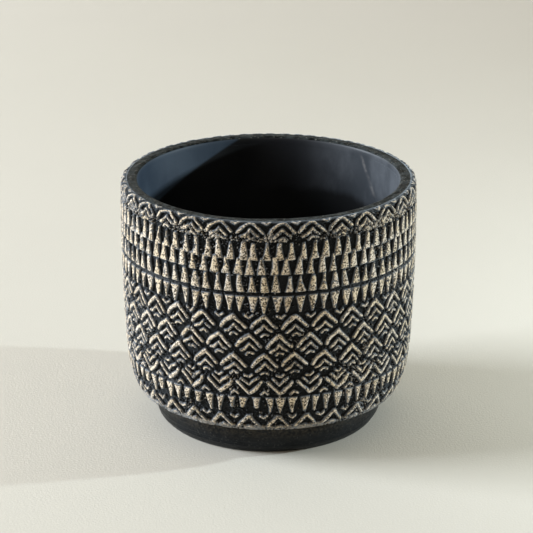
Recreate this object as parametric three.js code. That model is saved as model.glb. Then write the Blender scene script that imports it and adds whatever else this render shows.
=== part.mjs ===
// A round footed pot of dark clay, built the way a hand builder lutes one together: a foot ring,
// a floor slab, a lower and an upper strip of patterned wall, a coil that fillets the inside
// corner, and a rim coil. Units are millimetres, +Z is up, and the origin is the centre of the
// foot's underside. Every piece is turned about the Z axis, and neighbours meet face to face.

import * as THREE from 'three';

// ---- Driving dimensions -------------------------------------------------------------------

const SEGMENTS = 72;              // facets round every turned piece

const HEIGHT = 115.4;             // foot's underside to the top of the lip
const FOOT_TOP = 16.5;            // foot ring's height, and the underside of the floor
const FLOOR_TOP = 24.0;
const CORNER_TOP = 30.0;          // where the inside corner coil runs out into the wall
const WALL_JOINT = 83.4;          // where the two wall strips meet, at the deep groove
const RIM_JOINT = 111.6;          // where the rim coil sits on the upper strip

const FOOT_BASE_RADIUS = 48.5;
const FOOT_TOP_RADIUS = 52.8;
const FOOT_INNER_RADIUS = 42.0;
const FOOT_ROUNDING = 5;          // power of the curve that rounds the foot in to its base

const FLOOR_RADIUS = 57.0;        // also the inside of the wall at its lower end
const CORNER_INNER_RADIUS = 51.0;
const INNER_JOINT_RADIUS = 58.6;  // inside of the wall at the joint of the two strips
const LIP_INNER_RADIUS = 59.4;

const WALL_LOWER_EDGE = 16.2;     // the wall hangs slightly below the floor's underside
const BELLY_RADIUS = 67.4;        // widest radius of the wall
const BELLY_HEIGHT = 95.0;        // height of that widest place
const LOWER_TAPER = 2.4;          // how far the wall has drawn in towards its lower edge
const UPPER_TAPER = 0.4;          // how far it has drawn in at the lip
const HEEL_DEPTH = 4.4;           // extra drawing-in of the rounded heel at the lower edge
const HEEL_LENGTH = 7.5;          // height over which that rounding fades

const LIP_OUTER_ROUND = 2.0;      // radius of the lip's outer edge
const LIP_INNER_ROUND = 1.0;

const GROOVE_DEPTH = 1.0;
const GROOVE_HALF_WIDTH = 0.8;
const UPPER_GROOVES = [91.9];     // fine grooves between rows of ornament, by height
const LOWER_GROOVES = [34.9];

// ---- Materials ----------------------------------------------------------------------------

const clayMaterial = (color, roughness) =>
  new THREE.MeshStandardMaterial({ color, roughness, metalness: 0 });

const patternedClay = clayMaterial(0x8a8070, 0.8);   // dark ground with pale wash on the relief
const darkClay = clayMaterial(0x26282a, 0.6);
const innerClay = clayMaterial(0x1d2226, 0.5);

// ---- Outlines -----------------------------------------------------------------------------

const point = (radius, z) => new THREE.Vector2(radius, z);

/** Outer radius of the wall, over the tops of the ornament, at height z. */
function wallRadius(z) {
  const span = BELLY_HEIGHT - WALL_LOWER_EDGE;
  const below = Math.max(BELLY_HEIGHT - z, 0) / span;
  const above = Math.max(z - BELLY_HEIGHT, 0) / (HEIGHT - BELLY_HEIGHT);
  const heel = HEEL_DEPTH * Math.exp(-(z - WALL_LOWER_EDGE) / HEEL_LENGTH);
  return BELLY_RADIUS - LOWER_TAPER * below ** 2 - UPPER_TAPER * above ** 2 - heel;
}

/** Points of the outer wall between two heights, closer together towards the rounded heel. */
function wallOutline(from, to, count) {
  return Array.from({ length: count + 1 }, (_, i) => {
    const z = from + (to - from) * (i / count) ** 1.5;
    return point(wallRadius(z), z);
  });
}

/** The outline with a V-shaped groove cut in at each given height. */
function withGrooves(outline, heights) {
  const grooves = heights.flatMap((z) => [
    point(wallRadius(z - GROOVE_HALF_WIDTH), z - GROOVE_HALF_WIDTH),
    point(wallRadius(z) - GROOVE_DEPTH, z),
    point(wallRadius(z + GROOVE_HALF_WIDTH), z + GROOVE_HALF_WIDTH),
  ]);
  const clear = outline.filter((p) =>
    heights.every((z) => Math.abs(p.y - z) > 2 * GROOVE_HALF_WIDTH));
  return [...clear, ...grooves].sort((a, b) => a.y - b.y);
}

/** Points along an arc about (radius, z), with angles in degrees from the outward direction. */
function arc(radius, z, size, fromDegrees, toDegrees, count) {
  return Array.from({ length: count + 1 }, (_, i) => {
    const angle = THREE.MathUtils.degToRad(fromDegrees + (toDegrees - fromDegrees) * (i / count));
    return point(radius + size * Math.cos(angle), z + size * Math.sin(angle));
  });
}

/** Radius of the inside of the wall, straight between the corner coil, the joint and the lip. */
function innerRadius(z) {
  if (z <= WALL_JOINT) {
    const rise = Math.max(z - CORNER_TOP, 0) / (WALL_JOINT - CORNER_TOP);
    return FLOOR_RADIUS + (INNER_JOINT_RADIUS - FLOOR_RADIUS) * rise;
  }
  const rise = (z - WALL_JOINT) / (HEIGHT - WALL_JOINT);
  return INNER_JOINT_RADIUS + (LIP_INNER_RADIUS - INNER_JOINT_RADIUS) * rise;
}

// ---- Pieces -------------------------------------------------------------------------------

/** One turned piece. The outline is listed anticlockwise in the (radius, height) plane. */
function turned(name, outline, material, closeOnItself = true) {
  const points = closeOnItself ? [...outline, outline[0].clone()] : outline;
  const geometry = new THREE.LatheGeometry(points, SEGMENTS);
  const mesh = new THREE.Mesh(geometry, material);
  mesh.name = name;
  mesh.rotation.x = Math.PI / 2;
  return mesh;
}

function footRing() {
  const steps = 6;
  const outer = Array.from({ length: steps + 1 }, (_, i) => {
    const z = FOOT_TOP * (i / steps) ** 2;
    const fill = 1 - (1 - z / FOOT_TOP) ** FOOT_ROUNDING;
    return point(FOOT_BASE_RADIUS + (FOOT_TOP_RADIUS - FOOT_BASE_RADIUS) * fill, z);
  });
  return turned('foot_ring',
    [point(FOOT_INNER_RADIUS, 0), ...outer, point(FOOT_INNER_RADIUS, FOOT_TOP)], darkClay);
}

function floorSlab() {
  return turned('floor_slab', [
    point(0, FOOT_TOP),
    point(FLOOR_RADIUS, FOOT_TOP),
    point(FLOOR_RADIUS, FLOOR_TOP),
    point(0, FLOOR_TOP),
  ], darkClay, false);
}

function cornerCoil() {
  const size = CORNER_TOP - FLOOR_TOP;
  const hollow = arc(CORNER_INNER_RADIUS, CORNER_TOP, size, 0, -90, 5).slice(1);
  return turned('corner_coil',
    [point(FLOOR_RADIUS, FLOOR_TOP), point(FLOOR_RADIUS, CORNER_TOP), ...hollow], innerClay);
}

function lowerWall() {
  const top = WALL_JOINT - GROOVE_HALF_WIDTH;
  const outer = withGrooves(wallOutline(WALL_LOWER_EDGE, top, 13), LOWER_GROOVES);
  return turned('lower_wall', [
    point(FLOOR_RADIUS, FOOT_TOP),
    ...outer,
    point(wallRadius(WALL_JOINT) - GROOVE_DEPTH, WALL_JOINT),
    point(INNER_JOINT_RADIUS, WALL_JOINT),
    point(FLOOR_RADIUS, CORNER_TOP),
    point(FLOOR_RADIUS, FLOOR_TOP),
  ], patternedClay);
}

function upperWall() {
  const bottom = WALL_JOINT + GROOVE_HALF_WIDTH;
  const outer = withGrooves(wallOutline(bottom, RIM_JOINT, 5), UPPER_GROOVES);
  return turned('upper_wall', [
    point(INNER_JOINT_RADIUS, WALL_JOINT),
    point(wallRadius(WALL_JOINT) - GROOVE_DEPTH, WALL_JOINT),
    ...outer,
    point(innerRadius(RIM_JOINT), RIM_JOINT),
  ], patternedClay);
}

function rimCoil() {
  const outerRound = arc(wallRadius(HEIGHT) - LIP_OUTER_ROUND, HEIGHT - LIP_OUTER_ROUND,
    LIP_OUTER_ROUND, 0, 90, 4);
  const innerRound = arc(LIP_INNER_RADIUS + LIP_INNER_ROUND, HEIGHT - LIP_INNER_ROUND,
    LIP_INNER_ROUND, 90, 180, 3);
  return turned('rim_coil', [
    point(innerRadius(RIM_JOINT), RIM_JOINT),
    point(wallRadius(RIM_JOINT), RIM_JOINT),
    ...outerRound,
    ...innerRound,
  ], darkClay);
}

const pot = new THREE.Group();
pot.add(footRing(), floorSlab(), cornerCoil(), lowerWall(), upperWall(), rimCoil());

export default pot;
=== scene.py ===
"""A round footed pot of dark clay, carved in bands of raised triangles and nested chevrons.

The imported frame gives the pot's sizes. This script lays the carved relief out on the flat,
wraps it round the wall as real geometry in stacked rings, and turns the lip, inside, floor
and foot as finely uneven clay. Lengths named here are in millimetres; meshes are in metres.
The front of the pot faces -Y, and angles round it are in degrees, positive to the right.
"""

import math

import bpy
import numpy as np
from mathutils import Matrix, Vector


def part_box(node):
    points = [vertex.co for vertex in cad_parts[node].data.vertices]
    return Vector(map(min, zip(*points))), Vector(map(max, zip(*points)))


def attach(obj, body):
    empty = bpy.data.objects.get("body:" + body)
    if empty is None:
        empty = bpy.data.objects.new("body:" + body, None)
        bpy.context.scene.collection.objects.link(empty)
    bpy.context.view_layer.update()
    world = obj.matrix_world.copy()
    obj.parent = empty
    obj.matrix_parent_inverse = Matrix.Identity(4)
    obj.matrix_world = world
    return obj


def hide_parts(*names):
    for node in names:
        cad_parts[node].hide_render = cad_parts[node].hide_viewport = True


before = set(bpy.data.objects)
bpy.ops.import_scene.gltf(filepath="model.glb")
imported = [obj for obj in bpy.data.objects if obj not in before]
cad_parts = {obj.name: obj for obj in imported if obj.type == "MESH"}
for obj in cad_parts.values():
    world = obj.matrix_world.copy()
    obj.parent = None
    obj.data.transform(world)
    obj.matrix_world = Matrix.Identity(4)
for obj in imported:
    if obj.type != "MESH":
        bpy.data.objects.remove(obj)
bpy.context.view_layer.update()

MM = 0.001
SEED = 31

# ---- Sizes taken from the frame, in millimetres ---------------------------------------------


def low(node, axis):
    """Lowest coordinate of a CAD node along an axis, in millimetres."""
    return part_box(node)[0]["xyz".index(axis)] / MM


def high(node, axis):
    """Highest coordinate of a CAD node along an axis, in millimetres."""
    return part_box(node)[1]["xyz".index(axis)] / MM


HEIGHT = high("rim_coil", "z")
FOOT_TOP = high("foot_ring", "z")
FLOOR_TOP = high("floor_slab", "z")
CORNER_TOP = high("corner_coil", "z")
WALL_LOWER_EDGE = low("lower_wall", "z")
WALL_JOINT = low("upper_wall", "z")
RIM_JOINT = low("rim_coil", "z")
BELLY_RADIUS = high("upper_wall", "x")
FLOOR_RADIUS = high("floor_slab", "x")
FOOT_TOP_RADIUS = high("foot_ring", "x")

# ---- Sizes that the boxes do not give, in millimetres ----------------------------------------

BELLY_HEIGHT = 95.0            # height of the widest place
LOWER_TAPER = 2.4
UPPER_TAPER = 0.4
HEEL_DEPTH = 4.4
HEEL_LENGTH = 7.5
LIP_OUTER_ROUND = 2.0
LIP_CARVED = 0.9               # how far the carving runs in over the flat of the lip
LIP_INNER_ROUND = 1.8
LIP_INNER_RADIUS = 59.4
INNER_JOINT_RADIUS = 58.6
CORNER_INNER_RADIUS = 51.0
FOOT_BASE_RADIUS = 48.5
FOOT_INNER_RADIUS = 42.0
FOOT_ROUNDING = 5

# ---- The relief ------------------------------------------------------------------------------

REPEATS = 31                   # chevrons round the pot
TRIANGLES = 80                 # triangles round the pot in the four upper rows
HEEL_TRIANGLES = 76            # and in the row above the heel
COLUMNS = REPEATS * 48
ROW_STEP = 0.3
DEGREE = 1.17                  # millimetres along the wall for one degree
COLUMN_STEP = 360 * DEGREE / COLUMNS
GROUND_DEPTH = 1.50            # how far the ground lies below the tops of the ornament
WALL_RUN = 0.60                # how far a motif's side runs out as it falls to the ground
CROWN = 0.16                   # how far the rounded tops rise above their edges
CROWN_RUN = 0.6
SEAM_ANGLE = -31.0             # where the two ends of the patterned strip meet
SEAM_STEP = 0.6                # how much higher the pattern stands on the left of the seam
SEAM_HALF_WIDTH = 0.3
SEAM_DEPTH = 0.28
PIT_DEPTH = 0.30               # depth of the small pits in the tops

random = np.random.default_rng(SEED)


def smooth_step(edge_low, edge_high, value):
    t = np.clip((value - edge_low) / (edge_high - edge_low), 0, 1)
    return t * t * (3 - 2 * t)


def wall_radius(z):
    """Outer radius over the tops of the ornament, the lip's outer rounding left out."""
    z = np.asarray(z, float)
    below = np.maximum(BELLY_HEIGHT - z, 0) / (BELLY_HEIGHT - WALL_LOWER_EDGE)
    above = np.maximum(z - BELLY_HEIGHT, 0) / (HEIGHT - BELLY_HEIGHT)
    heel = HEEL_DEPTH * np.exp(-(z - WALL_LOWER_EDGE) / HEEL_LENGTH)
    return BELLY_RADIUS - LOWER_TAPER * below**2 - UPPER_TAPER * above**2 - heel


def outer_outline():
    """Evenly spaced points up the outside, from the heel over the lip's edge.

    Gives their radius, their height, and their height counted along the lip's rounding.
    """
    bend_start = HEIGHT - LIP_OUTER_ROUND
    z = np.linspace(WALL_LOWER_EDGE, bend_start, 2000)
    angle = np.linspace(0, math.pi / 2, 200)[1:]
    inward = np.linspace(0, LIP_CARVED, 20)[1:]
    lip_radius = float(wall_radius(bend_start)) - LIP_OUTER_ROUND
    bend_end = bend_start + LIP_OUTER_ROUND * math.pi / 2
    radius = np.concatenate([wall_radius(z), lip_radius + LIP_OUTER_ROUND * np.cos(angle),
                             lip_radius - inward])
    up = np.concatenate([z, bend_start + LIP_OUTER_ROUND * angle, bend_end + inward])
    z = np.concatenate([z, bend_start + LIP_OUTER_ROUND * np.sin(angle),
                        np.full(len(inward), HEIGHT)])
    along = np.concatenate([[0], np.cumsum(np.hypot(np.diff(radius), np.diff(z)))])
    even = np.linspace(0, along[-1], int(along[-1] / ROW_STEP) + 1)
    return [np.interp(even, along, values) for values in (radius, z, up)]


ROW_RADIUS, ROW_Z, ROW_UP = outer_outline()
ROWS = len(ROW_Z)
TOP_UP = ROW_UP[-1]            # where the carving ends, at the flat of the lip
COLUMN_X = np.arange(COLUMNS) * COLUMN_STEP


def noise(size_x, size_z, seed):
    """Smooth noise from -1 to 1 over the relief grid, in cells of that size, seamless round the pot."""
    cells_x = max(4, int(round(360 * DEGREE / size_x)))
    cells_z = int(TOP_UP / size_z) + 3
    lattice = np.random.default_rng([SEED, seed]).uniform(-1, 1, (cells_z, cells_x))
    u = COLUMN_X / (360 * DEGREE) * cells_x
    v = ROW_UP / size_z
    iu, iv = np.floor(u).astype(int), np.floor(v).astype(int)
    fu, fv = u - iu, (v - iv)[:, None]
    fu, fv = fu * fu * (3 - 2 * fu), fv * fv * (3 - 2 * fv)
    left, right = iu % cells_x, (iu + 1) % cells_x
    lower = lattice[iv][:, left] * (1 - fu) + lattice[iv][:, right] * fu
    upper = lattice[iv + 1][:, left] * (1 - fu) + lattice[iv + 1][:, right] * fu
    return lower * (1 - fv) + upper * fv


def seam_lift():
    """How far the pattern is lifted at each column: most left of the seam, none right of it."""
    round_from_seam = (COLUMN_X / DEGREE - SEAM_ANGLE) % 360
    return SEAM_STEP * smooth_step(150, 340, round_from_seam)


# How far every edge wanders, slowly and in small steps, along the wall and up it.
WARP_X = 0.12 * noise(4.5, 5.0, 1) + 0.10 * noise(1.5, 1.6, 2) + 0.06 * noise(0.7, 0.7, 3)
WARP_Z = 0.12 * noise(5.0, 4.5, 4) + 0.10 * noise(1.6, 1.4, 5) + 0.06 * noise(0.7, 0.7, 6)
WARP_Z = WARP_Z - seam_lift()
ROUGH = noise(0.9, 0.8, 7)
FAR = 5.0
distance = np.full((ROWS, COLUMNS), FAR)      # signed distance to the nearest motif, negative inside
MARGIN = 1.6                                  # how far round a motif its distance is worked out


def window_at(centre_x, bottom, top, half_width):
    """Grid rows and columns round a place, with x from its centre and z, both slightly warped."""
    first = math.floor((centre_x - half_width - MARGIN) / COLUMN_STEP)
    last = math.ceil((centre_x + half_width + MARGIN) / COLUMN_STEP)
    columns = np.arange(first, last + 1)
    rows = np.flatnonzero((ROW_UP > bottom - MARGIN) & (ROW_UP < top + MARGIN))
    window = np.ix_(rows, columns % COLUMNS)
    x = columns * COLUMN_STEP - centre_x + WARP_X[window]
    z = ROW_UP[rows][:, None] + WARP_Z[window]
    return window, x, z


def soft_max(values, sharpness=5.0):
    """Smooth maximum of several signed distances, which rounds the corners where they meet."""
    return np.log(sum(np.exp(sharpness * v) for v in values)) / sharpness


HOLLOW = 0.12                  # how far a triangle's sides are hollowed, and how much that varies
HOLLOW_SPREAD = 0.22
TILT_SPREAD = 0.05             # how much a triangle's base tilts, as a slope


def triangle(centre_x, base_z, tip_z, base_half, tip_half, lean):
    """A narrow triangle with a blunt tip, wide at base_z, its sides slightly hollow or bulging."""
    up = 1.0 if tip_z > base_z else -1.0
    length = abs(tip_z - base_z)
    slope = (base_half - tip_half) / length
    across = 1 / math.hypot(1, slope)
    hollow = HOLLOW + HOLLOW_SPREAD * random.normal(0, 1, 2)
    tilt = TILT_SPREAD * random.normal()
    window, x, z = window_at(centre_x, min(base_z, tip_z), max(base_z, tip_z),
                             base_half + abs(lean))
    rise = (z - base_z) * up + tilt * x
    share = np.clip(rise / length, 0, 1)
    side = x - lean * share
    bend = 4 * share * (1 - share) * np.where(side < 0, hollow[0], hollow[1])
    flank = (np.abs(side) - (base_half - slope * rise - bend)) * across
    distance[window] = np.minimum(distance[window], soft_max([flank, -rise, rise - length]))


# Spines of the carved strokes: (across, height from the apex, half thickness), in millimetres,
# from the left end to the right. The left arm is the heavier one.
OUTER_STROKE = ((-5.5, -6.2, 0.62), (-4.6, -4.6, 0.66), (-3.2, -3.2, 0.76), (-1.6, -1.9, 0.82),
                (-0.1, -0.8, 0.72), (1.3, -2.1, 0.60), (3.4, -4.3, 0.50), (5.2, -6.1, 0.60))
MIDDLE_STROKE = ((-3.9, -3.9, 0.52), (-2.6, -3.3, 0.54), (-1.4, -2.2, 0.46), (0.0, -0.6, 0.40),
                 (1.8, -2.5, 0.38), (3.2, -3.6, 0.42))
SMALL_STROKE = ((-1.4, -1.5, 0.42), (-0.5, -0.7, 0.38), (0.2, -0.5, 0.34), (1.7, -1.2, 0.40))
LIP_STROKE = ((-5.6, -5.5, 0.54), (-4.9, -4.2, 0.54), (-3.6, -2.9, 0.54), (-1.0, -1.0, 0.46),
              (1.1, -0.9, 0.46), (2.4, -2.3, 0.44), (5.3, -5.5, 0.48))
HEEL_STROKE = ((-4.9, -6.3, 0.66), (-3.3, -4.3, 0.78), (-1.9, -2.8, 0.82), (-0.2, -0.9, 0.80),
               (0.6, -1.0, 0.66), (2.1, -3.1, 0.46), (4.8, -6.4, 0.48))
HEEL_MOUND = ((-1.5, -1.6, 0.55), (0.5, -0.7, 0.55), (2.3, -1.7, 0.55))
FRAGMENT = ((-1.6, -1.8, 0.42), (0.0, -0.5, 0.40), (1.7, -1.6, 0.42))
SHAKE = (0.12, 0.12, 0.09)     # how much a spine's points move across and up, and its width varies


def draw(stroke, centre_x, apex, turn=1):
    """Carves one stroke with its apex at a height; turn -1 turns it half round."""
    shake = random.normal(0, 1, (len(stroke), 3)) * SHAKE
    points = [(turn * (x + dx), apex + turn * (z + dz))
              for (x, z, _), (dx, dz, _) in zip(stroke, shake)]
    thick = [half * (1 + grow) for (_, _, half), (_, _, grow) in zip(stroke, shake)]
    heights = [z for _, z in points]
    reach = max(abs(x) for x, _ in points)
    window, x, z = window_at(centre_x, min(heights), max(heights), reach)
    for (x0, z0), (x1, z1), t0, t1 in zip(points, points[1:], thick, thick[1:]):
        dx, dz = x1 - x0, z1 - z0
        t = np.clip(((x - x0) * dx + (z - z0) * dz) / (dx * dx + dz * dz), 0, 1)
        away = np.hypot(x - x0 - t * dx, z - z0 - t * dz) - (t0 + (t1 - t0) * t)
        distance[window] = np.minimum(distance[window], away)


def angles(count, phase):
    """Centres of count motifs round the pot, in degrees, one of them at phase."""
    return phase + np.arange(count) * 360 / count


# Each row: count, angle of one, base height, tip height, half widths of base and tip, lean.
TRIANGLE_ROWS = (
    (TRIANGLES, -0.7, 98.6, 106.4, 1.75, 0.55, 0.15),
    (TRIANGLES, -2.5, 91.9, 99.5, 1.85, 0.50, 0.20),
    (TRIANGLES, -1.6, 83.8, 91.0, 1.90, 0.50, -0.05),
    (TRIANGLES, -1.4, 81.9, 74.7, 1.95, 0.35, -0.25),
)
HEEL_ROW = (HEEL_TRIANGLES, -0.1, 33.6, 26.1, 1.85, 0.35, -0.10)
CHOPPED = {75, 74, 73, 70, 69, 66, 64, 12, 25, 26, 38, 50, 51}      # heel triangles cut short
CHOPPED_BY = 2.4


def carve_triangles():
    for count, phase, base, tip, base_half, tip_half, lean in TRIANGLE_ROWS + (HEEL_ROW,):
        for index, angle in enumerate(angles(count, phase)):
            dx, dz, wide, blunt, tilt = random.normal(0, 1, 5)
            short = CHOPPED_BY if count == HEEL_TRIANGLES and index in CHOPPED else 0.0
            triangle(angle * DEGREE + 0.20 * dx, base, tip + short + 0.25 * dz,
                     base_half * (1 + 0.07 * wide), tip_half * (1 + 0.3 * blunt) + 0.25 * short,
                     lean + 0.3 * tilt)


HALF = 180 / REPEATS                                   # half a chevron's pitch, in degrees
FIELD_PHASE = -1.65
# Rows of nested chevrons in the field: height of the outer apex, angle of one, turned or not.
FIELD_ROWS = (
    (73.6, FIELD_PHASE, 1),
    (64.5, FIELD_PHASE + HALF, 1),
    (55.3, FIELD_PHASE, 1),
    (35.1, FIELD_PHASE + HALF, -1),
)
MIDDLE_DROP = 4.3                                      # from the outer apex to the middle one
SMALL_DROP = 8.4                                       # and to the smallest one
LIP_APEXES = (116.3, 112.9, 109.0)                     # outer, middle and small, under the lip
HEEL_APEX = 24.7
MOUND_APEX = 19.0
FIELD_FRAGMENT = 71.3                                  # height of those over the field
# The other rows of fragments: shift along the wall, height, turned or not.
FRAGMENT_ROWS = ((0.0, 37.1, 1), (-0.4, 22.5, -1), (0.8, 114.6, -1))


def around(phase, spread=0.2):
    """Places along the wall of one motif in each repeat, in millimetres, slightly uneven."""
    return [angle * DEGREE + spread * random.normal() for angle in angles(REPEATS, phase)]


def carve_chevrons():
    """The nested chevrons of the field, then the rows under the lip and round the heel."""
    for apex, phase, turn in FIELD_ROWS:
        for x in around(phase):
            z = apex + 0.15 * random.normal()
            draw(OUTER_STROKE, x, z, turn)
            draw(MIDDLE_STROKE, x + 0.12 * random.normal(), z - turn * MIDDLE_DROP, turn)
            draw(SMALL_STROKE, x + 0.15 * random.normal(), z - turn * SMALL_DROP, turn)
    outer, middle, small = LIP_APEXES
    for x in around(FIELD_PHASE + HALF + 0.6):
        draw(LIP_STROKE, x, outer)
        draw(MIDDLE_STROKE, x, middle)
        draw(SMALL_STROKE, x + 0.15 * random.normal(), small)
    for x in around(FIELD_PHASE + HALF - 0.5):
        draw(HEEL_STROKE, x, HEEL_APEX)
        draw(HEEL_MOUND, x + 0.3 * random.normal(), MOUND_APEX)


def carve_fragments():
    """Small bent fragments that fill the gaps between the chevrons."""
    for x in around(FIELD_PHASE + HALF + 0.2):
        draw(FRAGMENT, x, FIELD_FRAGMENT, -1)
    for x in around(FIELD_PHASE):
        for shift, height, turn in FRAGMENT_ROWS:
            draw(FRAGMENT, x + shift, height, turn)


def chip(centre_x, centre_z, size):
    """Breaks a rough hole of about the given radius out of the ornament."""
    window, x, z = window_at(centre_x, centre_z, centre_z, size)
    hole = size * (1 + 0.6 * ROUGH[window]) - np.hypot(x, z - centre_z)
    distance[window] = np.maximum(distance[window], hole)


# Chips on the wall and under the lip: how many, the heights and the radii between which they fall.
CHIPS = ((110, (20, 106), (0.25, 0.75)), (90, (106, 116), (0.3, 0.7)))


def carve_chips():
    for count, heights, sizes in CHIPS:
        for _ in range(count):
            chip(random.uniform(0, 360 * DEGREE), random.uniform(*heights), random.uniform(*sizes))


carve_triangles()
carve_chevrons()
carve_fragments()
carve_chips()

# ---- From motifs to heights --------------------------------------------------------------------

Z_GRID = ROW_UP[:, None] + WARP_Z
ROUND_FROM_SEAM = (COLUMN_X / DEGREE - SEAM_ANGLE + 180) % 360 - 180

# Where loose crumbs lie: lowest and highest place, seed, and how densely.
CRUMB_BANDS = (
    (107.0, 110.4, 11, 0.74),           # under the lip's chevrons
    (16.2, 18.2, 21, 1.40),             # along the lower edge
    (20, 114, 31, 0.08),                # a few all over the ground
)
# Low ledges along the bases of the triangles: lowest and highest place, softness, height.
LEDGES = ((82.3, 82.9, 0.5, 0.62), (33.9, 34.4, 0.45, 0.50), (91.1, 91.3, 0.3, 0.15))
# The deep groove and the fine one: lowest and highest place, softness, depth.
GROOVES = ((83.35, 83.75, 0.35, 0.35), (91.5, 91.7, 0.25, 0.175))


def band(z_low, z_high, soft):
    """1 between two heights, falling to 0 over soft millimetres outside them."""
    above = smooth_step(z_low - soft, z_low, Z_GRID)
    return above * (1 - smooth_step(z_high, z_high + soft, Z_GRID))


def bands(rows):
    """The sum of several bands, each times its own height."""
    return sum(height * band(z_low, z_high, soft) for z_low, z_high, soft, height in rows)


def crumbs(z_low, z_high, seed, cover):
    """Signed distance to a scatter of grains between two heights, more of them for more cover."""
    grain = noise(0.48, 0.48, seed) + 0.30 * noise(1.3, 1.0, seed + 1)
    patchy = 0.55 * noise(8, 20, seed + 2)
    return 0.75 * (1.15 - grain - (cover + patchy) * band(z_low, z_high, 0.7))


def all_crumbs():
    under_lip, lower_edge, stray = [crumbs(*row) for row in CRUMB_BANDS]
    return np.minimum(np.minimum(under_lip, lower_edge), stray) + 0.02


def ground_depth():
    """Depth of the ground, which runs out at the lip and is less along the lower edge."""
    depth = GROUND_DEPTH * (1 + 0.10 * noise(9, 9, 41))
    depth = depth * (1 - 0.80 * smooth_step(TOP_UP - 3.8, TOP_UP - 1.6, Z_GRID))
    depth = depth * (1 - smooth_step(TOP_UP - 1.2, TOP_UP - 0.2, Z_GRID))
    return depth * (0.35 + 0.65 * smooth_step(WALL_LOWER_EDGE, 19.0, Z_GRID))


def seam_line():
    """1 on the wandering line of the seam and 0 away from it."""
    wander = 0.3 * noise(3, 5, 45)
    return np.exp(-((ROUND_FROM_SEAM * DEGREE + wander) / SEAM_HALF_WIDTH) ** 2)


def worn_pits():
    """1 in the small pits of the tops, which are closer together in worn patches and at the lip."""
    worn = smooth_step(-0.1, 0.6, noise(10, 8, 48)) * (0.6 + 0.4 * band(105, 117, 3))
    grain = 0.8 * noise(0.60, 0.58, 46) + 0.5 * noise(1.5, 1.4, 47)
    return smooth_step(0.66 - 0.35 * worn, 0.90 - 0.25 * worn, grain)


def wash_cover(grains, pits, seam):
    """How thickly the pale wash lies: on tops and crumbs, not in pits or over the lip's edge."""
    wash = smooth_step(0.02, -0.16, distance + 0.20 * noise(0.55, 0.55, 50))
    wash = np.maximum(wash, 0.75 * smooth_step(0.08, -0.10, grains))
    wash *= 1 - 0.9 * pits
    wash *= 1 - 0.7 * seam
    wash *= 1 - 0.45 * smooth_step(19.0, 17.5, Z_GRID)
    wash *= 1 - 0.9 * smooth_step(TOP_UP - 1.1, TOP_UP - 0.7, Z_GRID)
    return wash


def carve():
    """The relief's height in millimetres from the tops, its cover of wash, and how deep it is.

    The last runs from 0 on the tops to 1 in the ground, and less at the lip's edge.
    """
    grains = all_crumbs()
    fall = smooth_step(0, WALL_RUN, np.minimum(distance, grains + 0.12))
    height = -ground_depth() * fall - CROWN * smooth_step(-CROWN_RUN, 0, distance)
    height += fall * (0.07 * noise(1.1, 2.0, 42) + 0.05 * noise(0.6, 0.6, 43))
    height += bands(LEDGES) * fall * (1 + 0.2 * noise(6, 3, 44))
    height -= bands(GROOVES)
    seam = seam_line()
    height -= SEAM_DEPTH * seam
    pits = worn_pits()
    height -= (1 - fall) * (PIT_DEPTH * pits + 0.05 * noise(0.75, 0.7, 49))
    ground = fall * (1 - 0.65 * smooth_step(TOP_UP - 1.5, TOP_UP - 0.5, Z_GRID))
    return height, wash_cover(grains, pits, seam), ground


relief_height, relief_wash, relief_ground = carve()

# ---- Meshes --------------------------------------------------------------------------------------


def outward(radius, z):
    """Unit normals, as (radial, vertical), of an outline listed upwards on the outside."""
    dr, dz = np.gradient(radius), np.gradient(z)
    length = np.hypot(dr, dz)
    return dz / length, -dr / length


def ring_points(radius, z, count):
    """Points in metres for rows of rings: radius and z are (rows, count) or (rows, 1) arrays."""
    turn = 2 * math.pi * np.arange(count) / count
    radius = np.broadcast_to(radius, (len(radius), count)) * MM
    z = np.broadcast_to(z, (len(z), count)) * MM
    return np.stack([radius * np.sin(turn), -radius * np.cos(turn), z], axis=-1)


def grid_normals(points):
    """Outward unit normals of a grid of ring points, seamless round the pot."""
    along = np.roll(points, -1, axis=1) - np.roll(points, 1, axis=1)
    up = np.gradient(points, axis=0)
    normal = np.cross(along, up)
    return normal / np.linalg.norm(normal, axis=-1, keepdims=True)


def strip_faces(first, second, count):
    """Quads between two rings of count points that start at those vertex numbers."""
    here = np.arange(count)
    ahead = (here + 1) % count
    return np.stack([first + here, first + ahead, second + ahead, second + here], axis=-1)


def make_object(name, points, faces, normals, attributes, materials, face_materials):
    """A mesh object that rides on the pot. Faces are lists of vertex numbers."""
    mesh = bpy.data.meshes.new(name)
    mesh.from_pydata(points.reshape(-1, 3).tolist(), [], faces)
    mesh.polygons.foreach_set("use_smooth", np.ones(len(mesh.polygons), bool))
    mesh.polygons.foreach_set("material_index", np.asarray(face_materials, np.int32))
    for key, values in attributes.items():
        layer = mesh.attributes.new(key, "FLOAT", "POINT")
        layer.data.foreach_set("value", values.astype(np.float32).ravel())
    if normals is not None:
        mesh.normals_split_custom_set_from_vertices(normals.reshape(-1, 3).tolist())
    for material in materials:
        mesh.materials.append(material)
    mesh.update()
    piece = bpy.data.objects.new(name, mesh)
    bpy.context.scene.collection.objects.link(piece)
    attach(piece, "root")
    return piece


INNER_COLUMNS = COLUMNS // 4
INNER_STEP = 2.0               # height of one step up the smooth inside, in millimetres


def inner_radius(z):
    """Radius of the inside of the wall at height z."""
    heights = [CORNER_TOP, WALL_JOINT, HEIGHT]
    return np.interp(z, heights, [FLOOR_RADIUS, INNER_JOINT_RADIUS, LIP_INNER_RADIUS])


def inner_wave(z, turn):
    """Slow unevenness of the hand-smoothed inside, in millimetres."""
    return (0.10 * np.sin(3 * turn + z / 9) + 0.08 * np.sin(5 * turn - z / 6 + 1)
            + 0.03 * np.sin(z / 4.3 + 0.6 * np.sin(2 * turn)))


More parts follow.
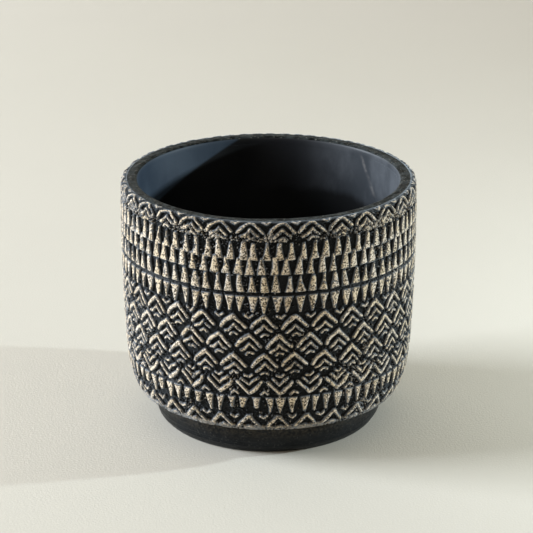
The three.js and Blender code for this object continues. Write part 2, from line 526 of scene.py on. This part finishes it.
def inner_rings(z_values):
    turn = 2 * math.pi * np.arange(INNER_COLUMNS) / INNER_COLUMNS
    z = np.asarray(z_values, float)[:, None]
    fade = smooth_step(0, 4, HEIGHT - LIP_INNER_ROUND - z)
    return ring_points(inner_radius(z) + fade * inner_wave(z, turn), z, INNER_COLUMNS)


def fan_faces(fine_start, coarse_start, flip):
    """Flat faces between a ring of COLUMNS points and one of INNER_COLUMNS points."""
    ratio = COLUMNS // INNER_COLUMNS
    faces = []
    for k in range(INNER_COLUMNS):
        ahead = (k + 1) % INNER_COLUMNS
        fine = [fine_start + (k * ratio + i) % COLUMNS for i in range(ratio + 1)]
        face = fine + [coarse_start + ahead, coarse_start + k]
        faces.append(face[::-1] if flip else face)
    return faces


def relief_grid():
    """Points and normals of the whole carved outside, from the heel to the lip's flat top."""
    normal_r, normal_z = outward(ROW_RADIUS, ROW_Z)
    radius = ROW_RADIUS[:, None] + relief_height * normal_r[:, None]
    z = ROW_Z[:, None] + relief_height * normal_z[:, None]
    points = ring_points(radius, z, COLUMNS)
    return points, grid_normals(points)


RELIEF_POINTS, RELIEF_NORMALS = relief_grid()


def wall_faces(rows, steps):
    """Faces of a ring with that many carved rows outside and steps inside, and their materials."""
    inner_start = (rows + 1) * COLUMNS
    carved, smooth = [], []
    for row in range(rows):
        carved.extend(strip_faces(row * COLUMNS, (row + 1) * COLUMNS, COLUMNS).tolist())
    for step in range(steps):
        start = inner_start + step * INNER_COLUMNS
        smooth.extend(strip_faces(start + INNER_COLUMNS, start, INNER_COLUMNS).tolist())
    ends = fan_faces(rows * COLUMNS, inner_start + steps * INNER_COLUMNS, False)
    ends += fan_faces(0, inner_start, True)
    kinds = [0] * len(carved) + [1] * len(smooth) + [0] * len(ends)
    return carved + smooth + ends, kinds


def wall_ring(name, first, last, materials, node):
    """A closed ring of wall between two rows of the relief grid, carved outside, smooth inside."""
    bottom = max(ROW_Z[first], FOOT_TOP)
    steps = max(2, int((ROW_Z[last] - bottom) / INNER_STEP))
    inner_points = inner_rings(np.linspace(bottom, ROW_Z[last], steps + 1))
    rows = slice(first, last + 1)
    points = np.concatenate([RELIEF_POINTS[rows].reshape(-1, 3), inner_points.reshape(-1, 3)])
    normals = np.concatenate([RELIEF_NORMALS[rows].reshape(-1, 3),
                              -grid_normals(inner_points).reshape(-1, 3)])
    blank = np.zeros((steps + 1) * INNER_COLUMNS)
    attributes = {"wash": np.concatenate([relief_wash[rows].ravel(), blank]),
                  "ground": np.concatenate([relief_ground[rows].ravel(), blank])}
    faces, kinds = wall_faces(last - first, steps)
    piece = make_object(name, points, faces, normals, attributes, materials, kinds)
    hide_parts(node)


def close_end(points, faces, start, count, flip):
    """Closes the ring of count points that starts at that vertex with triangles to its centre."""
    centre = points[start:start + count].mean(axis=0)
    tip = len(points)
    for k in range(count):
        here, ahead = start + k, start + (k + 1) % count
        faces.append([ahead, here, tip] if flip else [here, ahead, tip])
    return np.vstack([points, [0, 0, centre[2]]])


def turned_piece(name, outline, count, material, node, uneven=None, closed=True):
    """A turned piece of count columns from an outline listed anticlockwise in (radius, z).

    An outline that isn't closed starts and ends near the axis, and its ends are closed there.
    """
    radius = np.array([p[0] for p in outline], float)[:, None]
    z = np.array([p[1] for p in outline], float)[:, None]
    turn = 2 * math.pi * np.arange(count) / count
    if uneven is not None:
        dr, dz = uneven(radius, z, turn)
        radius, z = radius + dr, z + dz
    rows = len(outline)
    points = ring_points(radius, z, count).reshape(-1, 3)
    faces = []
    for row in range(rows if closed else rows - 1):
        faces.extend(strip_faces(row * count, (row + 1) % rows * count, count).tolist())
    if not closed:
        points = close_end(points, faces, 0, count, True)
        points = close_end(points, faces, (rows - 1) * count, count, False)
    piece = make_object(name, points, faces, None, {}, [material], [0] * len(faces))
    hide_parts(node)


# ---- Materials -----------------------------------------------------------------------------------


class Graph:
    """Short calls for building one material's nodes."""

    def __init__(self, name):
        self.material = bpy.data.materials.new(name)
        self.material.use_nodes = True
        self.nodes = self.material.node_tree.nodes
        self.links = self.material.node_tree.links
        self.shader = self.nodes["Principled BSDF"]
        self.place = self.nodes.new("ShaderNodeTexCoord").outputs["Object"]

    def put(self, socket, value):
        if isinstance(value, bpy.types.NodeSocket):
            self.links.new(value, socket)
        else:
            socket.default_value = value

    def noise(self, scale, detail=3.0, rough=0.55, stretch=None):
        """Noise around 0.5, with scale cells to the metre."""
        node = self.nodes.new("ShaderNodeTexNoise")
        node.inputs["Scale"].default_value = scale
        node.inputs["Detail"].default_value = detail
        node.inputs["Roughness"].default_value = rough
        place = self.place
        if stretch:
            mapping = self.nodes.new("ShaderNodeMapping")
            mapping.inputs["Scale"].default_value = stretch
            self.links.new(place, mapping.inputs["Vector"])
            place = mapping.outputs["Vector"]
        self.links.new(place, node.inputs["Vector"])
        return node.outputs["Fac"]

    def axes(self):
        """The x, y and z of the place, in metres."""
        node = self.nodes.new("ShaderNodeSeparateXYZ")
        self.links.new(self.place, node.inputs[0])
        return node.outputs[0], node.outputs[1], node.outputs[2]

    def attribute(self, name):
        node = self.nodes.new("ShaderNodeAttribute")
        node.attribute_name = name
        return node.outputs["Fac"]

    def math(self, operation, a, b=0.0):
        node = self.nodes.new("ShaderNodeMath")
        node.operation = operation
        self.put(node.inputs[0], a)
        self.put(node.inputs[1], b)
        return node.outputs[0]

    def times(self, a, b):
        return self.math("MULTIPLY", a, b)

    def plus(self, a, b):
        return self.math("ADD", a, b)

    def minus(self, a, b):
        return self.math("SUBTRACT", a, b)

    def ramp(self, value, from_low, from_high, to_low=0.0, to_high=1.0):
        """Runs smoothly from to_low to to_high as the value goes from from_low to from_high."""
        node = self.nodes.new("ShaderNodeMapRange")
        node.interpolation_type = "SMOOTHSTEP"
        self.put(node.inputs["Value"], value)
        node.inputs["From Min"].default_value = from_low
        node.inputs["From Max"].default_value = from_high
        node.inputs["To Min"].default_value = to_low
        node.inputs["To Max"].default_value = to_high
        return node.outputs["Result"]

    def mix(self, factor, a, b):
        """Colour a where the factor is 0 and colour b where it is 1."""
        node = self.nodes.new("ShaderNodeMix")
        node.data_type = "RGBA"
        self.put(node.inputs["Factor"], factor)
        self.put(node.inputs[6], (*a, 1) if isinstance(a, tuple) else a)
        self.put(node.inputs[7], (*b, 1) if isinstance(b, tuple) else b)
        return node.outputs[2]

    def bump(self, height, distance, normal=None, strength=1.0):
        """Normals of a surface roughened by up to distance metres, over those of normal."""
        node = self.nodes.new("ShaderNodeBump")
        self.put(node.inputs["Strength"], strength)
        node.inputs["Distance"].default_value = distance
        self.put(node.inputs["Height"], height)
        if normal is not None:
            self.links.new(normal, node.inputs["Normal"])
        return node.outputs["Normal"]

    def sheen(self, weight, roughness, tint):
        """Dust that lightens the clay where it is seen at a slant."""
        self.shader.inputs["Sheen Weight"].default_value = weight
        self.shader.inputs["Sheen Roughness"].default_value = roughness
        self.shader.inputs["Sheen Tint"].default_value = (*tint, 1)

    def finish(self, colour, roughness, normal, specular):
        """Joins everything to the shader and gives the finished material."""
        self.put(self.shader.inputs["Base Color"], colour)
        self.put(self.shader.inputs["Roughness"], roughness)
        self.put(self.shader.inputs["Normal"], normal)
        self.shader.inputs["Specular IOR Level"].default_value = specular
        return self.material


# Colours, as linear red, green and blue.
SAND = (0.87, 0.73, 0.53)
PALE_SAND = (0.93, 0.83, 0.71)
GOLDEN_SAND = (0.72, 0.56, 0.40)
STAIN = (0.50, 0.38, 0.24)
DARK_STAIN = (0.32, 0.24, 0.15)
THIN_WASH = (0.36, 0.26, 0.15)          # round the wash's edges and pinholes
PINHOLE = (0.020, 0.018, 0.015)         # clay that shows through the wash
FLANK = (0.108, 0.118, 0.132)           # sides of the motifs
PALE_FLANK = (0.190, 0.208, 0.232)
# black clay deep in the ground, darker still as painted shade of the recesses
GROUND_WITH_PAINTED_SHADE = (0.0080, 0.0085, 0.0090)
CARVED_DUST = (0.76, 0.89, 1.0)
INSIDE_BLACK = (0.0045, 0.0050, 0.0060)
# painted shadow on the left of the inside, below the edge of the right lamp's cast shadow
INSIDE_SHADED = (0.0030, 0.0035, 0.0045)
# painted shade at the back middle of the inside, where neither lamp reaches
PAINTED_SHADE_MIDDLE = (0.011, 0.012, 0.015)
LIT_FILM = (0.026, 0.041, 0.064)            # blue dust on the left of the inside, painted lighter where the right lamp lights it: painted light over real dust
PALE_LIT_FILM = (0.040, 0.060, 0.088)
LIT_SMUDGE = (0.028, 0.033, 0.040)          # grey dust on the right of the inside, painted paler where the left window lights that wall: painted light over real dust
PALE_LIT_SMUDGE = (0.074, 0.082, 0.094)
SCRATCH = (0.19, 0.18, 0.175)
PALE_SPECK = (0.50, 0.47, 0.41)
BROWN_DUST = (0.115, 0.095, 0.070)

# Heights and places below are in metres, as the materials see them.
FIELD_BOTTOM = (0.034, 0.038)           # where the field of chevrons begins and ends
FIELD_TOP = (0.076, 0.082)
PALE_BAND_EDGE = (0.0875, 0.0925)           # lower edge of the paler band inside, black below it
FILM_SHADOW_EDGE = (0.1218, 0.1236)            # lower edge of the blue film, at the middle of the pot, laid on the right lamp's cast shadow edge: painted shadow below it
FILM_RISE = 0.57                        # how steeply that edge climbs to the right


def sandy_wash(g, patches, grain, fine):
    """Colour of the wash where it lies thick: sands in patches, stained grain by grain."""
    sand = g.mix(g.ramp(patches, 0.35, 0.65), SAND, PALE_SAND)
    sand = g.mix(g.ramp(g.noise(75, 2), 0.52, 0.68, 0.0, 0.45), sand, GOLDEN_SAND)
    stained = g.mix(g.ramp(grain, 0.36, 0.52), STAIN, sand)
    return g.mix(g.ramp(fine, 0.38, 0.58), g.mix(0.40, stained, DARK_STAIN), stained)


def unbroken(g, grain):
    """1 where the wash holds and 0 in worn spots and pinholes, of which the field has fewest."""
    height = g.axes()[2]
    field = g.times(g.ramp(height, *FIELD_BOTTOM), g.ramp(height, *FIELD_TOP, 1.0, 0.0))
    pinholes = g.plus(g.noise(1300, 1, 0.5), g.times(field, 0.045))
    speckle = g.plus(g.times(grain, 0.65), g.times(g.noise(380, 3, 0.6), 0.35))
    return g.times(g.ramp(speckle, 0.41, 0.47), g.ramp(pinholes, 0.39, 0.455))


def bare_clay(g, patches, washed):
    """Colour of the clay: grey on the motifs' sides, black in the ground and in the pinholes, the
    ground darkened as painted shade.
    """
    flank = g.mix(g.ramp(patches, 0.3, 0.7), FLANK, PALE_FLANK)
    # Painted shade: the deeper in the ground, the darker the clay.
    clay = g.mix(g.ramp(g.attribute("ground"), 0.12, 0.62), flank, GROUND_WITH_PAINTED_SHADE)
    return g.mix(g.ramp(washed, 0.3, 0.9), clay, PINHOLE)


def carved_clay():
    """Grey-black clay, darkest deep in the ground as painted shade, with a worn sandy wash on the
    ornament's tops.
    """
    g = Graph("carved_clay")
    patches = g.noise(140, 3)
    grain = g.noise(1450, 2, 0.70)
    fine = g.noise(2900, 2, 0.6)
    washed = g.attribute("wash")
    cover = g.times(washed, g.plus(g.times(unbroken(g, grain), 0.92), 0.08))
    wash = g.mix(g.ramp(cover, 0.25, 0.75), THIN_WASH, sandy_wash(g, patches, grain, fine))
    colour = g.mix(cover, bare_clay(g, patches, washed), wash)
    roughness = g.ramp(cover, 0.0, 1.0, 0.45, 0.90)
    grip = g.ramp(cover, 0.0, 0.6, 0.25, 1.0)
    normal = g.bump(fine, 0.00010, g.bump(grain, 0.00026, None, grip), grip)
    g.sheen(0.4, 0.4, CARVED_DUST)
    return g.finish(colour, roughness, normal, 0.10)


def scratch(g, across, back, height):
    """How strongly one thin pale scratch shows, slanting down the back right of the inside."""
    line = g.plus(g.times(g.minus(0.112, height), 0.353), 0.0435)
    aside = g.math("ABSOLUTE", g.minus(across, line))
    strength = g.times(g.ramp(aside, 0.0001, 0.0011, 1.0, 0.0), g.ramp(back, 0.0, 0.01))
    ends = g.times(g.ramp(height, 0.0935, 0.0960), g.ramp(height, 0.110, 0.113, 1.0, 0.0))
    broken = g.ramp(g.noise(260, 2), 0.40, 0.60, 0.08, 0.40)
    return g.times(g.times(strength, ends), broken)


def inner_clay():
    """Smooth clay of the inside: a paler band below the lip, with painted light and shade in it, and
    black further down.
    """
    g = Graph("inner_clay")
    across, back, height = g.axes()
    smudge = g.noise(38, 5, 0.6, (1.0, 1.0, 0.6))
    cloud = g.noise(70, 4, 0.6, (1.0, 1.0, 0.5))
    uneven_height = g.plus(height, g.times(g.minus(cloud, 0.5), 0.010))
    # The blue film is painted lighter where the right lamp lights the left wall, and painted shadow
    # lies below the lamp's shadow edge.
    lit_film = g.mix(g.ramp(smudge, 0.35, 0.65), LIT_FILM, PALE_LIT_FILM)
    above_shadow_edge = g.ramp(g.minus(height, g.times(across, FILM_RISE)), *FILM_SHADOW_EDGE)
    left = g.mix(above_shadow_edge, INSIDE_SHADED, lit_film)
    # Painted shade at the back middle, and painted light on the right where the left window lights the
    # wall.
    middle = g.mix(g.ramp(across, -0.014, 0.004), left, PAINTED_SHADE_MIDDLE)
    right = g.mix(g.ramp(smudge, 0.38, 0.66), LIT_SMUDGE, PALE_LIT_SMUDGE)
    band_with_painted_light = g.mix(g.ramp(across, 0.010, 0.052), middle, right)
    # The paler band, with its painted light and shade, ends at an uneven edge; the clay is black below
    # it.
    colour = g.mix(g.ramp(uneven_height, *PALE_BAND_EDGE), INSIDE_BLACK, band_with_painted_light)
    colour = g.mix(scratch(g, across, back, height), colour, SCRATCH)
    roughness = g.ramp(smudge, 0.3, 0.7, 0.42, 0.58)
    return g.finish(colour, roughness, g.bump(g.noise(1800, 2), 0.00003), 0.25)


def dark_clay(name, low, high, blotches, specks, roughness, specular, dust=0.0):
    """Plain clay of the foot and lip, mottled, finely pitted and with a few pale specks.

    Dust is how thickly brown dust lies at the top of the foot.
    """
    g = Graph(name)
    cloud = g.noise(blotches, 4, 0.6)
    fine = g.noise(2200, 3, 0.6)
    coarse = g.noise(700, 3, 0.6)
    clay = g.mix(g.ramp(cloud, 0.35, 0.65), low, high)
    rising = g.ramp(g.axes()[2], 0.005, FOOT_TOP * MM, 0.0, dust)
    clay = g.mix(g.times(rising, g.ramp(coarse, 0.35, 0.65)), clay, BROWN_DUST)
    colour = g.mix(g.ramp(g.noise(950, 2, 0.7), 0.61, 0.66, 0.0, specks), clay, PALE_SPECK)
    rough = g.ramp(cloud, 0.3, 0.7, roughness, roughness + 0.12)
    normal = g.bump(fine, 0.00008, g.bump(coarse, 0.00018))
    return g.finish(colour, rough, normal, specular)


def plain_stage(name, near, far):
    """Matt pale surface, of one colour near the pot and another far behind it, the far colour painted
    light that sets how bright that part looks.
    """
    g = Graph(name)
    grain = g.noise(900, 3, 0.6)
    # Painted light: the far part of the floor takes its own colour to set how bright it looks.
    back = g.ramp(g.axes()[1], 0.60, 0.90)
    patchy = g.ramp(g.noise(5, 2), 0.3, 0.7)
    tone = g.mix(g.times(patchy, 0.4), near, tuple(0.96 * c for c in near))
    return g.finish(g.mix(back, tone, far), 0.9, g.bump(grain, 0.00014), 0.2)


CARVED, INSIDE = carved_clay(), inner_clay()
LIP = dark_clay("lip_clay", (0.004, 0.005, 0.005), (0.040, 0.047, 0.049),
                blotches=260, specks=0.24, roughness=0.40, specular=0.04)
FOOT = dark_clay("foot_clay", (0.006, 0.007, 0.008), (0.013, 0.015, 0.017),
                 blotches=60, specks=0.06, roughness=0.32, specular=0.09, dust=0.5)

# ---- The pot -------------------------------------------------------------------------------------


def row_at(z):
    """The row of the relief grid nearest to a height."""
    return int(np.argmin(np.abs(ROW_Z - z)))


def build_walls():
    """The lower wall in four rings and the upper wall in two, meeting at shared rows of points."""
    lower = np.linspace(0, row_at(WALL_JOINT), 5).astype(int)
    upper = np.linspace(row_at(WALL_JOINT), row_at(RIM_JOINT), 3).astype(int)
    for index, (first, last) in enumerate(zip(lower, lower[1:])):
        wall_ring(f"lower_wall_ring_{index + 1}", first, last, [CARVED, INSIDE],
                  "lower_wall")
    for index, (first, last) in enumerate(zip(upper, upper[1:])):
        wall_ring(f"upper_wall_ring_{index + 1}", first, last, [CARVED, INSIDE],
                  "upper_wall")


def lip_outline(bottom):
    """Radius and height over the lip's flat, its inner rounding and the inside down to bottom.

    Also gives how many of these points belong to the lip's own clay.
    """
    inside_edge = LIP_INNER_RADIUS + LIP_INNER_ROUND
    bend_end = HEIGHT - LIP_INNER_ROUND
    flat = np.linspace(ROW_RADIUS[-1], inside_edge, 14)[1:]
    bend = np.linspace(0, math.pi / 2, 9)[1:]
    drop = np.linspace(bend_end, bottom, 4)[1:]
    rounding = inside_edge - LIP_INNER_ROUND * np.sin(bend)
    radius = np.concatenate([flat, rounding, inner_radius(drop)])
    z = np.concatenate([np.full(len(flat), HEIGHT), bend_end + LIP_INNER_ROUND * np.cos(bend), drop])
    return radius[:, None], z[:, None], len(flat) + len(bend) // 2


def uneven_lip(radius, z, turn):
    """Heights of the lip with its flat sunk and waved a little, easing in from the outer edge."""
    ease = np.minimum(1, np.arange(1, len(radius) + 1) / 3)[:, None]
    wave = 0.10 + 0.07 * np.sin(7 * turn + radius) + 0.05 * np.sin(23 * turn - 2 * radius)
    return z - ease * wave * (z > HEIGHT - 0.5)


def build_rim():
    """The lip: carved over its outer rounding, then a flat, slightly uneven top and the inside."""
    first = row_at(RIM_JOINT)
    radius, z, own_rows = lip_outline(ROW_Z[first])
    turn = 2 * math.pi * np.arange(COLUMNS) / COLUMNS
    smooth_points = ring_points(radius, uneven_lip(radius, z, turn), COLUMNS)
    points = np.concatenate([RELIEF_POINTS[first:], smooth_points])
    rows = len(points)
    carved_rows = rows - len(smooth_points)
    faces, kinds = [], []
    for row in range(rows):
        faces.extend(strip_faces(row * COLUMNS, (row + 1) % rows * COLUMNS, COLUMNS).tolist())
        kind = 0 if row < carved_rows - 1 else 1 if row < carved_rows + own_rows else 2
        kinds.extend([kind] * COLUMNS)
    normals = grid_normals(points)
    normals[0] = RELIEF_NORMALS[first]
    blank = np.zeros(smooth_points.shape[:2])
    attributes = {"wash": np.concatenate([relief_wash[first:], blank]),
                  "ground": np.concatenate([relief_ground[first:], blank])}
    piece = make_object("rim_lip", points, faces, normals, attributes, [CARVED, LIP, INSIDE], kinds)
    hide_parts("rim_coil")


FOOT_COLUMNS = 720
FLOOR_COLUMNS = 360
FOOT_CHAMFER = 0.6             # how far in the edges of the base are cut


def foot_outline():
    """Outline of the foot ring, anticlockwise from the inner edge of its base."""
    base = [(radius, 0.0) for radius in np.linspace(FOOT_INNER_RADIUS + FOOT_CHAMFER,
                                                    FOOT_BASE_RADIUS - FOOT_CHAMFER, 8)]
    heights = np.linspace(0.25, FOOT_TOP, 44)
    fill = 1 - (1 - heights / FOOT_TOP) ** FOOT_ROUNDING
    outer = [(FOOT_BASE_RADIUS + (FOOT_TOP_RADIUS - FOOT_BASE_RADIUS) * f, z)
             for f, z in zip(fill, heights)]
    inner = [(FOOT_INNER_RADIUS, z) for z in np.linspace(FOOT_TOP, FOOT_CHAMFER, 12)]
    return base + outer + inner


def foot_uneven(radius, z, turn):
    """Turning marks and slow dents round the foot; the base stays flat."""
    away = smooth_step(0.5, 3.0, z) * (1 - smooth_step(FOOT_TOP - 1, FOOT_TOP, z))
    marks = 0.07 * np.sin(z * 2.1 + 0.5 * np.sin(3 * turn)) + 0.05 * np.sin(z * 4.7 + 2)
    dents = 0.16 * np.sin(4 * turn + z / 5) + 0.10 * np.sin(9 * turn - z / 3)
    return away * (marks + dents), 0 * z * turn


def build_foot():
    turned_piece("foot_ring_clay", foot_outline(), FOOT_COLUMNS, FOOT, "foot_ring",
                 foot_uneven)


def floor_uneven(radius, z, turn):
    """Shallow swirls sunk in both faces of the floor, fading out at its edge and middle."""
    free = smooth_step(0, 3, FLOOR_RADIUS - radius) * smooth_step(0, 6, radius)
    swirl = 0.12 * np.sin(radius * 0.9 + turn) + 0.08 * np.sin(3 * turn + radius / 4)
    return 0 * z * turn, -free * np.abs(swirl) * np.sign(z - (FLOOR_TOP + FOOT_TOP) / 2)


def build_floor():
    shares = np.linspace(0, 1, 26)[1:]
    bottom = [(FLOOR_RADIUS * share, FOOT_TOP) for share in shares]
    top = [(radius, FLOOR_TOP) for radius, _ in reversed(bottom)]
    turned_piece("floor_clay", bottom + top, FLOOR_COLUMNS, INSIDE, "floor_slab",
                 floor_uneven, closed=False)


def build_corner():
    """The coil in the inside corner, its face a hollow quarter round."""
    size = CORNER_TOP - FLOOR_TOP
    hollow = [(CORNER_INNER_RADIUS + size * math.cos(a), CORNER_TOP - size * math.sin(a))
              for a in np.linspace(0, math.pi / 2, 14)[1:]]
    corner = [(FLOOR_RADIUS, FLOOR_TOP), (FLOOR_RADIUS, CORNER_TOP)] + hollow
    turned_piece("corner_coil_clay", corner, FLOOR_COLUMNS, INSIDE, "corner_coil")


build_walls()
build_rim()
build_foot()
build_floor()
build_corner()

# ---- Stage, light and camera ---------------------------------------------------------------------

FLOOR_COLOUR = (0.668, 0.634, 0.560)
# painted light: the tone of the far floor and backdrop, set to how bright that part looks
BACKDROP_COLOUR_PAINTED_LIGHT = (0.678, 0.642, 0.574)
# In metres: where the floor starts to bend up, the bend's radius, and the backdrop's other ends.
BEND_START = 1.20
BEND = 0.40
BACKDROP_TOP = 2.2
STAGE_HALF_WIDTH = 3.0
STAGE_FRONT = -2.0

LIGHTS_AIM = (0, 0, 0.06)
# Square panels of light: name, place, side, power in watts, colour.
LIGHTS = (
    ("window_left", (-2.3, 0.0, 0.90), 1.12, 118, (0.85, 0.92, 1.0)),
    ("lamp_right", (0.60, 0.02, 0.203), 0.020, 3.2, (0.82, 0.95, 1.0)),
)
ROOM_COLOUR = (1.0, 0.915, 0.75, 1)
ROOM_STRENGTH = 0.37

CAMERA_BACK = 0.9405
CAMERA_UP = 0.4199
CAMERA_LEFT = 0.00095
CAMERA_PITCH = 20.35                    # degrees downwards
CAMERA_LENS = 147.2
CAMERA_SENSOR = 36


def build_stage():
    """A pale floor that curves up into a backdrop far behind the pot."""
    bend = [(BEND_START + BEND * math.sin(a), BEND - BEND * math.cos(a))
            for a in np.linspace(0, math.pi / 2, 24)]
    outline = [(STAGE_FRONT, 0.0)] + bend + [(BEND_START + BEND, BACKDROP_TOP)]
    points, faces = [], []
    for y, z in outline:
        points += [(-STAGE_HALF_WIDTH, y, z), (STAGE_HALF_WIDTH, y, z)]
    for i in range(len(outline) - 1):
        faces.append([2 * i, 2 * i + 1, 2 * i + 3, 2 * i + 2])
    mesh = bpy.data.meshes.new("backdrop")
    mesh.from_pydata(points, [], faces)
    mesh.polygons.foreach_set("use_smooth", np.ones(len(faces), bool))
    mesh.materials.append(plain_stage("stage", FLOOR_COLOUR, BACKDROP_COLOUR_PAINTED_LIGHT))
    sweep = bpy.data.objects.new("backdrop", mesh)
    bpy.context.scene.collection.objects.link(sweep)


def area_light(name, place, side, power, colour):
    lamp = bpy.data.lights.new(name, "AREA")
    lamp.shape = "SQUARE"
    lamp.size = side
    lamp.energy = power
    lamp.color = colour
    holder = bpy.data.objects.new(name, lamp)
    holder.location = place
    aim = Vector(LIGHTS_AIM) - Vector(place)
    holder.rotation_euler = aim.to_track_quat("-Z", "Y").to_euler()
    bpy.context.scene.collection.objects.link(holder)


def build_lights():
    """A window on the left, a small low lamp on the right, and an even warm room."""
    for light in LIGHTS:
        area_light(*light)
    world = bpy.data.worlds.new("room")
    world.use_nodes = True
    background = world.node_tree.nodes["Background"]
    background.inputs["Color"].default_value = ROOM_COLOUR
    background.inputs["Strength"].default_value = ROOM_STRENGTH
    bpy.context.scene.world = world


def build_camera():
    camera = bpy.data.cameras.new("camera")
    camera.lens = CAMERA_LENS
    camera.sensor_width = CAMERA_SENSOR
    camera.clip_end = 20
    holder = bpy.data.objects.new("camera", camera)
    holder.location = (-CAMERA_LEFT, -CAMERA_BACK, CAMERA_UP)
    holder.rotation_euler = (math.radians(90 - CAMERA_PITCH), 0, 0)
    bpy.context.scene.collection.objects.link(holder)
    bpy.context.scene.camera = holder


build_stage()
build_lights()
build_camera()
bpy.context.scene.view_settings.view_transform = "Standard"
